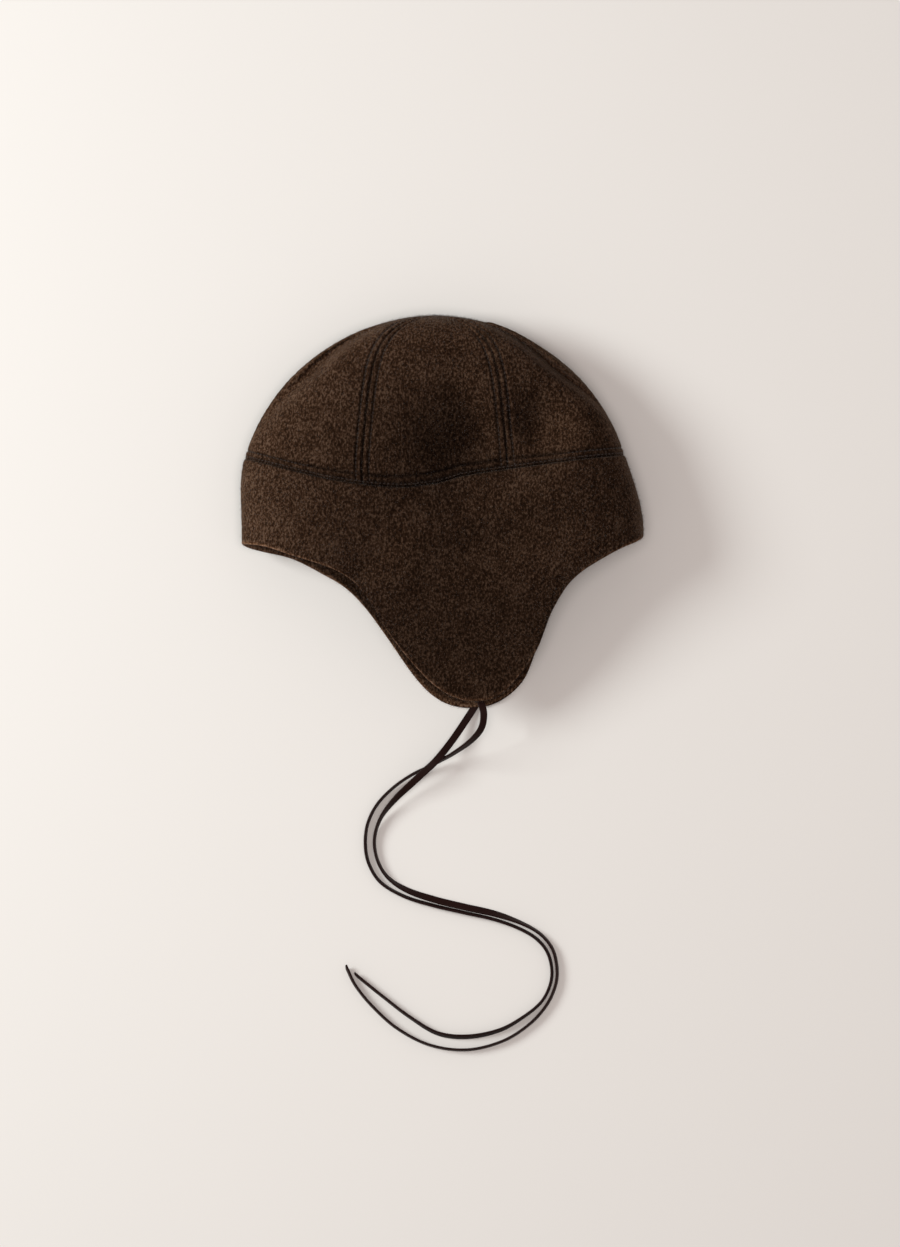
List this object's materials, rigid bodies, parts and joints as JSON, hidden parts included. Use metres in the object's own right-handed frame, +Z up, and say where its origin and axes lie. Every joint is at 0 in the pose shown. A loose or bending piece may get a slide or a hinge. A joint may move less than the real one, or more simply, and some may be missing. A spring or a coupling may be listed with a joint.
{
  "type": "wool trapper hat",
  "caption": "Soft wool cap lying on its side: gored crown, band with an ear flap on each side, and a flat leather tie lace on each flap.",
  "frame": {"origin": "on the surface that the hat lies on, at the middle of the hat's plan without its laces", "axes": "+Z up from the surface, +Y towards the top of the crown, +X towards the front of the hat"},
  "size_m": [0.2707, 0.4956, 0.0635],
  "materials": {
    "wool": "dark brown felted wool with a short soft nap",
    "lace_leather": "dark brown smooth leather with cut edges"
  },
  "bodies": {
    "root": {"crown_near_front": "wool", "crown_near_side": "wool", "crown_near_back": "wool", "crown_far_front": "wool", "crown_far_side": "wool", "crown_far_back": "wool", "band_flap_near": "wool", "band_flap_far": "wool", "lace_near": "lace_leather", "lace_far": "lace_leather"}
  },
  "joints": []
}
